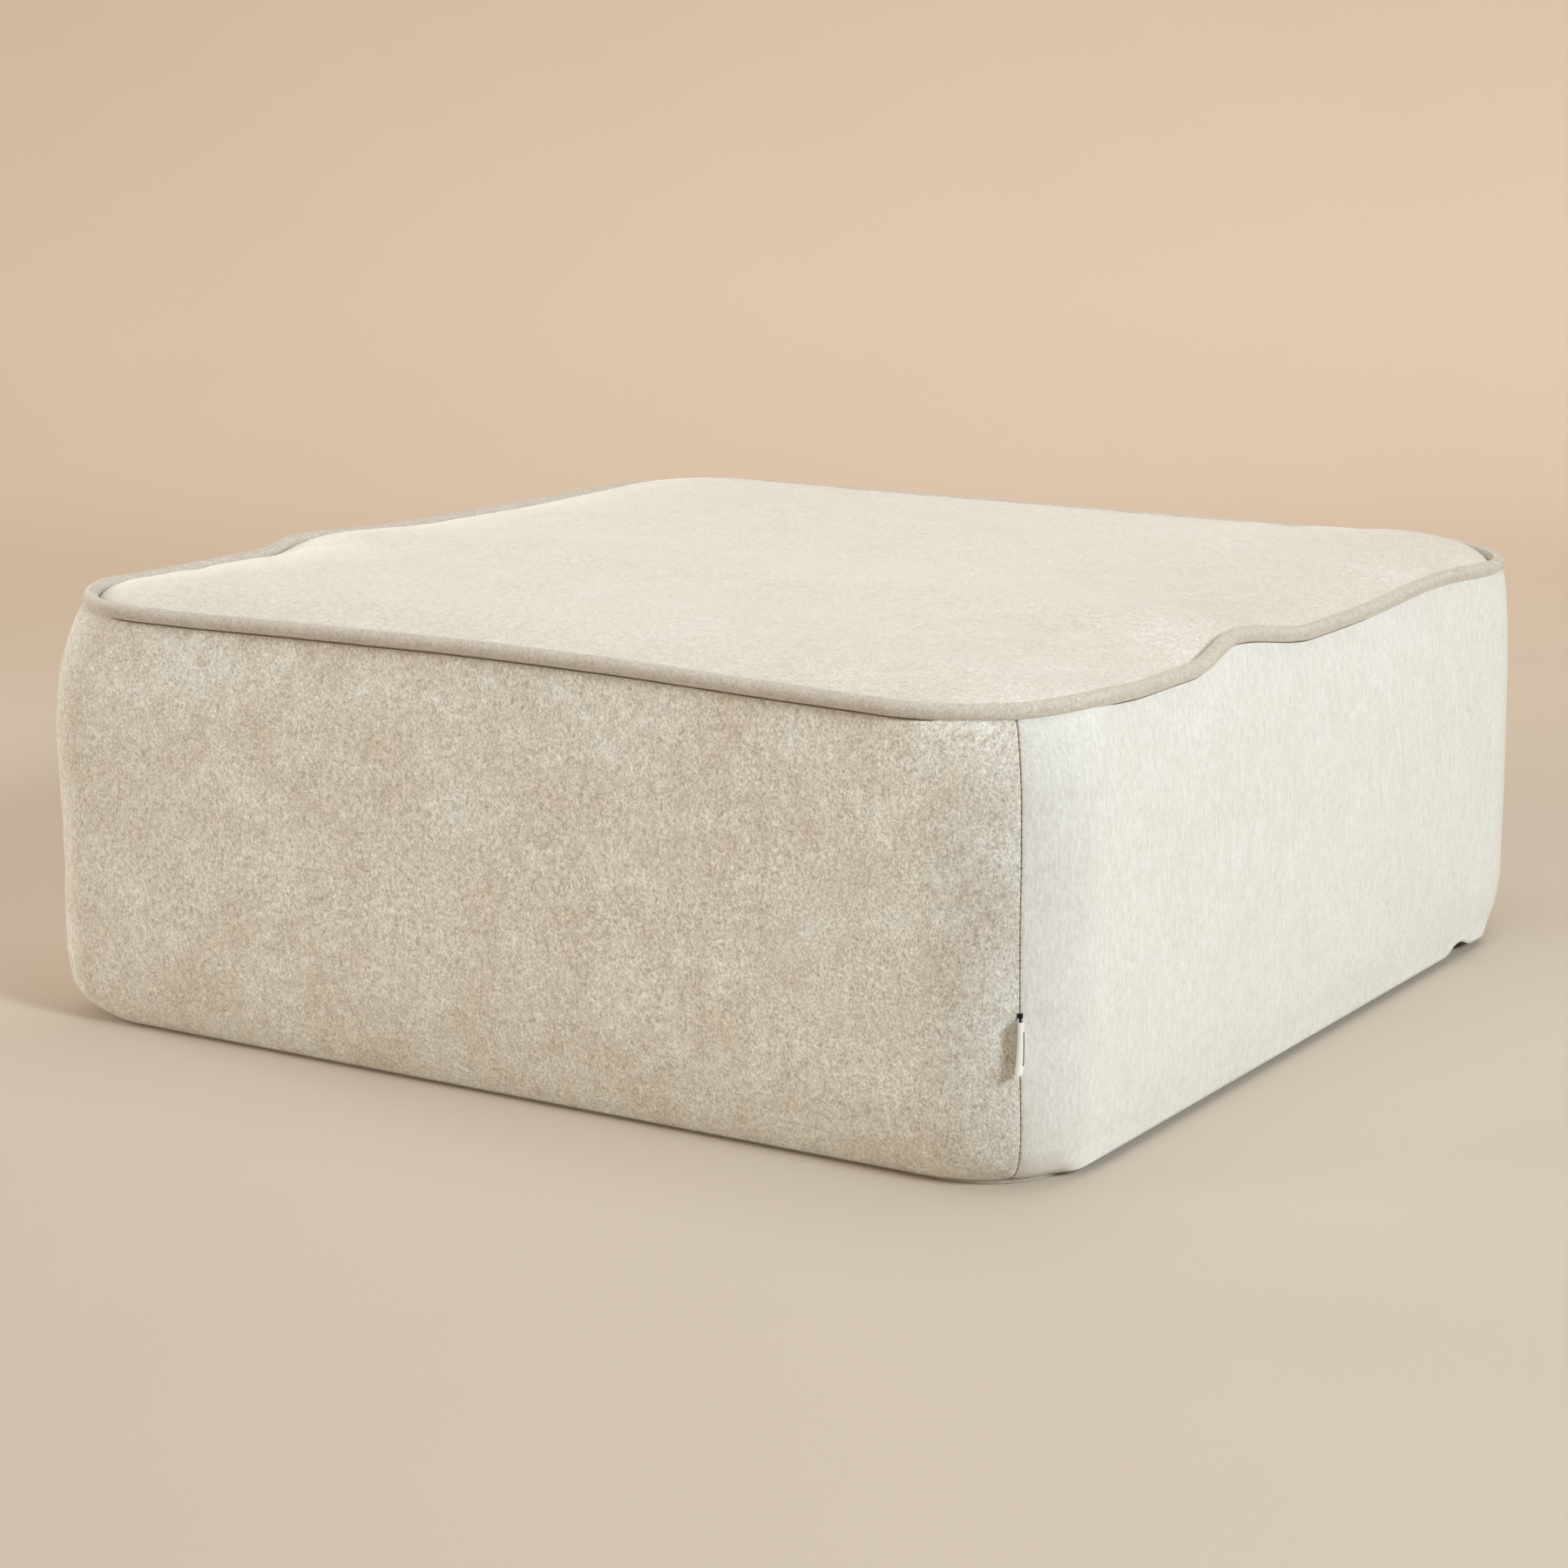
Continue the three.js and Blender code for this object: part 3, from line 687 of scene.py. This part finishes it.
def rolled_ends(grid):
    """Each end rolls in to its corner seam, where its allowance turns inwards."""
    seam = grid[:, [0, -1]]
    outward = seam * [1, 1, 0]
    outward /= np.linalg.norm(outward, axis=2)[:, :, None]
    for end in (0, 1):
        gap = np.linalg.norm((grid - seam[:, end][:, None]) * [1, 1, 0], axis=2)
        depth = 1.3 * MM * np.exp(-gap / (1.3 * MM)) + 0.7 * MM * np.exp(-(gap / (8 * MM)) ** 2)
        grid -= outward[:, end][:, None] * depth[:, :, None]
    allowance = [seam[:, e] - outward[:, e] * 7 * MM for e in (0, 1)]
    return np.concatenate([allowance[0][:, None], grid, allowance[1][:, None]], 1)


def hemmed(grid):
    """The foot turns under to its seam, or up behind the flap, and the top edge turns in to its own."""
    flat = grid * [1, 1, 0]
    unit = flat / np.linalg.norm(flat, axis=2)[:, :, None]
    flap = right_flap(grid[0, :, 0], grid[0, :, 1])[:, None]
    under = grid[0] - unit[0] * (4 - 2.4 * flap) * MM - [0, 0, 0.7 * MM]
    inside = grid[0] + unit[0] * (7.9 * flap - 10) * MM + (5.4 * flap - 0.9) * [0, 0, MM]
    tuck = grid[-1] - unit[-1] * 2.4 * MM + [0, 0, 0.5 * MM]
    sewn_in = grid[-1] - unit[-1] * 8 * MM + [0, 0, 0.6 * MM]
    return np.concatenate([[inside], [under], grid, [tuck], [sewn_in]], 0)


def side_band(name, k, moved, look):
    """The band of sides k and k + 1. It also notes the line of the seam at its first end."""
    grid = hemmed(rolled_ends(band_points(k, moved)))
    obj = new_object(name, grid.reshape(-1, 3), grid_faces(*grid.shape[:2]), MATS[look])
    modifier(obj, "SUBSURF", levels=1, render_levels=1)
    modifier(obj, "SOLIDIFY", thickness=CLOTH, offset=-1)
    line = SEAM_LINE if k == 0 else REAR_SEAM_LINE
    line.extend(grid[2:-2, 1])
    return obj


# ---- Piping -------------------------------------------------------------------------------------

def piping_path():
    steps = SIDE_STEPS * 2
    ks = np.repeat(np.arange(4), steps)
    ts = np.tile(np.arange(steps) / steps, 4)
    x, y = stations_xy(ks, ts, HALF, PIPE_CORNER, PIPE_CORNER)
    return np.stack([x, y, piping_height(x, y)], -1)


def wander(count, seed, waves=(3, 5, 8, 13, 21, 34), size=1.0):
    """A smooth closed curve of small random variation."""
    rng = np.random.default_rng(seed)
    a = np.arange(count) * 2 * np.pi / count
    total = sum(rng.normal() * np.sin(w * a + rng.uniform(0, 6.28)) / w ** 0.5 for w in waves)
    return size * total / np.abs(total).max()


def crease_shade_path(path, out):
    """Where the piping is sewn on: a dark thread line that paints the shade of the crease under the piping,
    sunk to a different depth as it goes round.
    """
    right_side = smooth((path[:, 0] - 0.37) / 0.015)
    depth = 0.5 * np.clip(wander(len(path), 6, (4, 7, 11, 19, 43, 90)), 0, 1) + 1.3 * right_side - 2.45
    seam = path - out * depth[:, None] * MM
    seam[:, 2] -= 5.35 * MM
    return seam


def piping():
    """The piping's cloth, the cord in it and, under it, a dark thread that paints the shade of the crease."""
    path = piping_path()
    count = len(path)
    flat = path * [1, 1, 0]
    out = flat / np.linalg.norm(flat, axis=1)[:, None]
    path = path + out * wander(count, 3, size=0.5 * MM)[:, None]
    path[:, 2] += wander(count, 4, size=0.5 * MM)
    radii = PIPE_R * (1 + wander(count, 5, (40, 61, 83, 117, 150), 0.03))
    obj = new_object("piping_cloth", *tube(path, PIPE_R, 16, closed=True, radii=radii), MATS["piping"])
    modifier(obj, "SUBSURF", levels=1, render_levels=1)
    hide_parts("piping_strip")
    cord = new_object("filler_cord", *tube(path, FILLER_R, 8, closed=True), MATS["cord"])
    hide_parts("piping_cord")
    # A dark thread tube in the crease under the piping: painted shade.
    crease_shade_tube = tube(crease_shade_path(path, out), 0.5 * MM, 6, closed=True)
    line = new_object("piping_crease_shade_thread", *crease_shade_tube, MATS["dark_thread_and_crease_shade"])
    return obj, cord, line


# ---- Stitches -----------------------------------------------------------------------------------

def along(points, pitch):
    """Places at an even pitch along a line, with the line's direction at each."""
    points = np.asarray(points, float)
    steps = np.linalg.norm(np.diff(points, axis=0), axis=1)
    run = np.concatenate([[0], np.cumsum(steps)])
    at = np.arange(pitch, run[-1] - pitch, pitch)
    place = np.stack([np.interp(at, run, points[:, i]) for i in range(3)], -1)
    direction = np.gradient(place, axis=0)
    return place, direction / np.linalg.norm(direction, axis=1)[:, None]


def corner_stitches(name, line, outward):
    """The stitches that show in a corner seam: short bars of thread across the groove."""
    place, direction = along(line[2:-1], 4.6 * MM)
    rng = np.random.default_rng(len(name))
    outward = np.asarray(outward, float) / np.linalg.norm(outward)
    parts = []
    for p, d in zip(place, direction):
        across = np.cross(d, outward)
        tilt = across + d * rng.normal(0, 0.25)
        half = rng.uniform(0.7, 1.15) * MM
        ends = [p - tilt * half, p + outward * 0.45 * MM, p + tilt * half]
        parts.append(tube(np.array(ends) + outward * 0.05 * MM, 0.33 * MM, 5))
    return new_object(name, *merged(parts), MATS["dark_thread_and_crease_shade"])


def seam_threads(name, line, outward):
    """The sunk thread down the whole of a corner seam."""
    outward = np.asarray(outward, float) / np.linalg.norm(outward)
    points = np.asarray(line) + outward * -0.6 * MM
    return new_object(name, *tube(points, 0.33 * MM, 6), MATS["dark_thread_and_crease_shade"])


# ---- Labels -------------------------------------------------------------------------------------

LABEL_TURN = math.radians(-58)  # its plan direction, a little to the front of the corner's own -45
LABEL_DIR = np.array([math.cos(LABEL_TURN), math.sin(LABEL_TURN)])
LABEL_ACROSS = np.array([-LABEL_DIR[1], LABEL_DIR[0]])
LABEL_REACH = 13 * MM
LABEL_ROWS = 17


def label_section(v):
    """The tag's folded loop in plan, from root to root, at a share v of its height.

    Gives how far out of the seam each point is, and how far across.
    """
    a = np.linspace(0, 1, 41)
    reach = LABEL_REACH + 3 * MM
    belly = (2.05 - 0.4 * v) * MM
    out = np.sin(np.pi * a) ** 0.8 * reach - 3 * MM
    half_loop = np.sin(np.pi * np.clip(2 * np.minimum(a, 1 - a), 0, 1)) ** 0.7
    across = np.where(a < 0.5, 1, -1) * belly * half_loop
    return out, across * (1 + 0.15 * np.sin(2.2 * v + 3 * a))


def label_points():
    """The tag's surface, row by row: a little open and curled at its lower end."""
    seam = np.asarray(SEAM_LINE)
    low, high = LABEL_LOW.z, LABEL_HIGH.z
    rows = []
    for v in np.linspace(0, 1, LABEL_ROWS):
        z = low + (high - low) * v
        root = [np.interp(z, seam[:, 2], seam[:, i]) for i in (0, 1)]
        out, across = label_section(v)
        curl = -1.6 * MM * (1 - v) ** 3 * np.clip(out / LABEL_REACH, 0, 1)
        plan = np.outer(out, LABEL_DIR) + np.outer(across + curl, LABEL_ACROSS) + root
        sag = -0.8 * MM * (1 - v) * np.clip(out / LABEL_REACH, 0, 1)
        rows.append(np.column_stack([plan, z + sag]))
    return np.array(rows)


def bends_at_seam(obj):
    """Bakes the object's transform into its mesh."""
    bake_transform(obj)


def label():
    """A folded tape sewn into the corner seam, with a plain woven stripe where the words would be."""
    points = label_points()
    faces = grid_faces(LABEL_ROWS, points.shape[1])
    obj = new_object("label_tape", points.reshape(-1, 3), faces, MATS["label"])
    modifier(obj, "SOLIDIFY", thickness=0.45 * MM, offset=0)
    modifier(obj, "SUBSURF", levels=1, render_levels=1)
    bake(obj)
    bends_at_seam(obj)
    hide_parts("woven_label")
    line = points[3:-3, 15] + [*(LABEL_ACROSS * 0.1 * MM), 0]
    bends_at_seam(new_object("label_stripe", *tube(line, 0.5 * MM, 6), MATS["label_print"]))


TACK_AXES = np.array([[0.537, -0.843, 0], [0.843, 0.537, 0], [0, 0, 1]])  # out along the tag, across and up
TACK_OUT = np.array([0.6, -0.9, 0]) * MM


def label_tack():
    """The bar tack that closes the seam over the label: a few turns of black thread."""
    seam = np.asarray(SEAM_LINE)
    z0 = LABEL_HIGH.z
    root = np.array([*(np.interp(z0 + 2 * MM, seam[:, 2], seam[:, i]) for i in (0, 1)), z0 + 0.6 * MM])
    rng = np.random.default_rng(8)
    parts = []
    for turn in range(7):
        a = np.linspace(0, 2 * np.pi, 15)
        lean = rng.uniform(-0.5, 0.5)
        out, across = 1.6 * np.cos(a) + 0.4 * np.sin(2 * a), 1.5 * np.sin(a)
        loop = np.stack([out, across, 1.5 * np.sin(a + lean) * lean], -1)
        loop[:, 2] += (turn - 3) * 0.45
        parts.append(tube(root + (loop @ TACK_AXES) * MM + TACK_OUT, 0.38 * MM, 5))
    return new_object("label_bar_tack", *merged(parts), MATS["black_thread"])


# ---- Zip ----------------------------------------------------------------------------------------

def coil(name, sign):
    """One row of the zip's coil: a flattened helix of nylon that runs the length of the opening."""
    low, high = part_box("zip_teeth_upper" if sign > 0 else "zip_teeth_lower")
    pitch = 1.4 * MM
    turns = (high.y - low.y) / pitch
    a = np.arange(0, turns * 2 * np.pi, 2 * np.pi / 7)
    mid_x, mid_z = (low.x + high.x) / 2, (low.z + high.z) / 2
    reach_x, reach_z = (high.x - low.x) / 2 - 0.25 * MM, (high.z - low.z) / 2 - 0.25 * MM
    points = np.stack([
        mid_x + reach_x * np.cos(a), low.y + a / 2 / np.pi * pitch, mid_z + sign * reach_z * np.sin(a)], -1)
    obj = new_object(name, *tube(points, 0.3 * MM, 4), MATS["teeth"])
    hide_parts("zip_teeth_upper" if sign > 0 else "zip_teeth_lower")
    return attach(obj, "cushion")


def rounded_plate(outline, x0, x1, edge):
    """A plate with its outline in the Y-Z plane, and softened edges, as vertices and faces."""
    outline = np.asarray(outline, float)
    middle = outline.mean(0)
    inner = middle + (outline - middle) * (1 - edge / np.linalg.norm(outline - middle, axis=1)[:, None])
    rows = [(x0, inner), (x0 + edge, outline), (x1 - edge, outline), (x1, inner)]
    verts = [np.column_stack([np.full(len(o), x), o]) for x, o in rows]
    n = len(outline)
    faces = [list(f) for f in grid_faces(4, n, wrap=True)]
    faces += [list(range(n))[::-1], [3 * n + j for j in range(n)]]
    return np.concatenate(verts), faces


def pill(y0, y1, half, waist=1.0, steps=9):
    """A long outline with round ends between y0 and y1; waist narrows its far end."""
    a = np.linspace(-np.pi / 2, np.pi / 2, steps)
    low, high = half * waist, half
    first = np.stack([y1 - high + high * np.cos(a), high * np.sin(a)], -1)
    second = np.stack([y0 + low - low * np.cos(a), -low * np.sin(a)], -1)
    return np.concatenate([first, second])


def zip_slider():
    low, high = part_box("zip_slider")
    z = (low.z + high.z) / 2
    y0, y1 = low.y, high.y
    back = rounded_plate(pill(y0, y1, 3.2 * MM, 0.8) + [0, z], low.x, low.x + 1.2 * MM, 0.25 * MM)
    front_x = high.x - 3.4 * MM - 1.2 * MM
    front = rounded_plate(pill(y0, y1, 4.2 * MM, 0.8) + [0, z], front_x, front_x + 1.2 * MM, 0.25 * MM)
    post_outline = pill(y1 - 3.4 * MM, y1 - 0.4 * MM, 0.3 * MM) + [0, z]
    post = rounded_plate(post_outline, low.x, high.x - 3.5 * MM, 0.05 * MM)
    a = np.linspace(0, np.pi, 15)
    mid = (y0 + y1) / 2
    arch = np.stack([
        front_x + 0.9 * MM + (high.x - front_x - 1.4 * MM) * np.sin(a) ** 0.6,
        mid + 3.2 * MM * np.cos(a), np.full(15, z)], -1)
    bridge = tube(arch, 0.55 * MM, 8)
    obj = new_object("slider_body", *merged([back, front, post, bridge]), MATS["metal"])
    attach(obj, "zip_slider")
    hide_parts("zip_slider")


def pull_tab():
    low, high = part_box("zip_pull_tab")
    z = (low.z + high.z) / 2
    half = (high.z - low.z) / 2
    outer = pill(low.y, high.y, half, 0.9, 11)
    hole = pill(high.y - 7.4 * MM, high.y - 1.3 * MM, 1.9 * MM, 1, 11)
    verts, edge = [], 0.2 * MM
    for x, grow in ((low.x, edge), (low.x + edge, 0), (high.x - edge, 0), (high.x, edge)):
        for ring, sign in ((outer, 1), (hole, -1)):
            middle = ring.mean(0)
            size = 1 - sign * grow / np.linalg.norm(ring - middle, axis=1)[:, None]
            flat = middle + (ring - middle) * size
            verts.append(np.column_stack([np.full(len(flat), x), flat[:, 0], flat[:, 1] + z]))
    n = len(outer)
    faces = []
    for j in range(n):
        k = (j + 1) % n
        for row in range(3):
            a, b = row * 2 * n, (row + 1) * 2 * n
            faces.append([a + j, a + k, b + k, b + j])
            faces.append([a + n + k, a + n + j, b + n + j, b + n + k])
        faces.append([k, j, n + j, n + k])
        faces.append([6 * n + j, 6 * n + k, 7 * n + k, 7 * n + j])
    obj = new_object("pull_tab", np.concatenate(verts), faces, MATS["metal"])
    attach(obj, "zip_pull_tab")
    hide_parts("zip_pull_tab")


# ---- Filling ------------------------------------------------------------------------------------

def soft_copy(node, name, mat, edge, uneven):
    """A piece of foam or wadding: the CAD shape with softened edges and slightly uneven faces."""
    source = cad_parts[node]
    mesh = source.data.copy()
    obj = bpy.data.objects.new(name, mesh)
    SCENE.collection.objects.link(obj)
    obj.matrix_world = source.matrix_world.copy()
    mesh.materials.clear()
    mesh.materials.append(mat)
    modifier(obj, "REMESH", mode="VOXEL", voxel_size=7 * MM)
    modifier(obj, "SMOOTH", factor=0.5, iterations=edge)
    texture = bpy.data.textures.new(name, "CLOUDS")
    texture.noise_scale = 0.09
    modifier(obj, "DISPLACE", texture=texture, strength=uneven, mid_level=0.6, texture_coords="GLOBAL")
    bake(obj)
    for p in obj.data.polygons:
        p.use_smooth = True
    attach(obj, "cushion")
    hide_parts(node)


def bake(obj):
    """Applies the modifiers."""
    graph = bpy.context.evaluated_depsgraph_get()
    mesh = bpy.data.meshes.new_from_object(obj.evaluated_get(graph))
    obj.modifiers.clear()
    obj.data = mesh


def filling():
    soft_copy("foam_base_block", "foam_base", MATS["foam_firm"], 2, 0.8 * MM)
    soft_copy("foam_top_front", "foam_front", MATS["foam_soft"], 2, 1.0 * MM)
    soft_copy("foam_top_rear", "foam_rear", MATS["foam_soft"], 2, 1.0 * MM)
    soft_copy("fibre_wrap", "fibre_wadding", MATS["fibre"], 3, 2.0 * MM)


# ---- Build --------------------------------------------------------------------------------------

def on_cushion(obj):
    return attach(obj, "cushion")


def build_cover():
    top = on_cushion(top_panel())
    moved = simulated_sides()
    right_back = on_cushion(side_band("side_cloth_right_back", 0, moved, "right"))
    front_left = on_cushion(side_band("side_cloth_front_left", 2, moved, "front"))
    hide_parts("side_band_right_back")
    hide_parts("side_band_front_left")
    for piece in piping():
        on_cushion(piece)
    for name, line, outward in (
            ("front_corner", SEAM_LINE, (1, -1, 0)), ("rear_corner", REAR_SEAM_LINE, (-1, 1, 0))):
        on_cushion(corner_stitches(name + "_stitches", line, outward))
        on_cushion(seam_threads(name + "_thread", line, outward))
    label()
    on_cushion(label_tack())
    coil("coil_upper", 1)
    coil("coil_lower", -1)
    zip_slider()
    pull_tab()


def assign(node, mat):
    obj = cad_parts[node]
    obj.data.materials.clear()
    obj.data.materials.append(mat)


def finish_cad_nodes():
    looks = {
        "base_panel": "base", "care_label": "care", "zip_tape_upper": "tape", "zip_tape_lower": "tape",
        "inner_liner": "liner",
    }
    for node, look in looks.items():
        assign(node, MATS[look])


# ---- Stage --------------------------------------------------------------------------------------

CAMERA_PLACE = (1.3742, -2.1976, 0.7119)
AZIMUTH, PITCH, ROLL = (math.radians(a) for a in (32.57, 12.55, -0.41))  # round from the front, and down


def camera():
    """The photograph's view."""
    data = bpy.data.cameras.new("camera")
    data.sensor_width = 36
    data.lens = 84.4
    data.clip_start, data.clip_end = 0.05, 60
    obj = bpy.data.objects.new("camera", data)
    SCENE.collection.objects.link(obj)
    obj.location = CAMERA_PLACE
    level = math.cos(PITCH)
    forward = Vector((-math.sin(AZIMUTH) * level, math.cos(AZIMUTH) * level, -math.sin(PITCH)))
    right = Vector((math.cos(AZIMUTH), math.sin(AZIMUTH), 0))
    up = right.cross(forward)
    turned = right * math.cos(ROLL) + up * math.sin(ROLL), up * math.cos(ROLL) - right * math.sin(ROLL)
    obj.matrix_world = Matrix.Translation(obj.location) @ Matrix(
        (turned[0], turned[1], -forward)).transposed().to_4x4()
    SCENE.camera = obj


def area_light(name, place, target, size, power, colour, spread=180):
    data = bpy.data.lights.new(name, "AREA")
    data.spread = math.radians(spread)
    data.shape = "DISK"
    data.size = size
    data.energy = power
    data.color = colour
    obj = bpy.data.objects.new(name, data)
    SCENE.collection.objects.link(obj)
    obj.location = place
    obj.rotation_mode = "QUATERNION"
    obj.rotation_quaternion = (Vector(place) - Vector(target)).to_track_quat("Z", "Y")


def sweep(material_):
    """The floor, which curves up into a backdrop behind the cushion as the camera sees it."""
    back = np.array([-math.sin(AZIMUTH), math.cos(AZIMUTH)])
    side = np.array([back[1], -back[0]])
    bend = np.linspace(0, np.pi / 2, 13)
    profile = [(-9, 0)] + [(1.9 + 1.2 * math.sin(a), 1.2 - 1.2 * math.cos(a)) for a in bend] + [(3.1, 5.5)]
    verts = []
    for run, z in profile:
        for across in (-7, 7):
            x, y = back * run + side * across
            verts.append((x, y, z - 0.0003))
    faces = [(2 * i + 1, 2 * i, 2 * i + 2, 2 * i + 3) for i in range(len(profile) - 1)]
    return new_object("floor", verts, faces, material_)


def stage():
    mat, tree, bsdf = material("floor_paint", 0.95, Specular_IOR_Level=0.1)
    coord = add_node(tree, "ShaderNodeTexCoord")
    height = add_node(tree, "ShaderNodeSeparateXYZ")
    tree.links.new(coord.outputs["Object"], height.inputs[0])
    away = add_node(tree, "ShaderNodeVectorMath", operation="DOT_PRODUCT")
    away.inputs[1].default_value = (-math.sin(AZIMUTH), math.cos(AZIMUTH), 0)
    tree.links.new(coord.outputs["Object"], away.inputs[0])
    high_up = mix(tree, ramp(tree, height.outputs["Z"], 0.25, 1.2), (0.90, 0.745, 0.60), (0.74, 0.605, 0.475))
    shade = mix(tree, ramp(tree, away.outputs["Value"], 0.4, 2.2), (0.655, 0.58, 0.485), high_up)
    mottle = mix(tree, ramp(tree, noise(tree, 3, 3), 0.3, 0.7), grey(0.985), grey(1.0))
    tree.links.new(mix(tree, 1.0, shade, mottle, "MULTIPLY"), bsdf.inputs["Base Color"])
    sweep(mat)
    world = bpy.data.worlds.new("studio")
    world.use_nodes = True
    background = world.node_tree.nodes["Background"]
    background.inputs["Color"].default_value = (1.0, 0.85, 0.68, 1)
    background.inputs["Strength"].default_value = 0.45
    SCENE.world = world
    area_light("key", (5.1, -1.5, 2.95), (0, 0, 0.15), 1.5, 226, (0.81, 0.915, 0.99))
    area_light("top_soft", (0.1, 0.1, 3.2), (0, 0, 0.2), 2.6, 24, (0.97, 1.0, 1.0))
    area_light("front_fill", (-3.0, -2.9, 1.4), (-0.2, 0, 0.15), 2.2, 4.6, (1.0, 0.98, 0.95), 60)
    area_light("left_rim", (-3.4, 0.1, 0.42), (-0.4, -0.1, 0.12), 0.5, 1.7, (1.0, 1.0, 0.97), 34)
    SCENE.view_settings.view_transform = "Standard"


camera()
build_cover()
filling()
finish_cad_nodes()
stage()
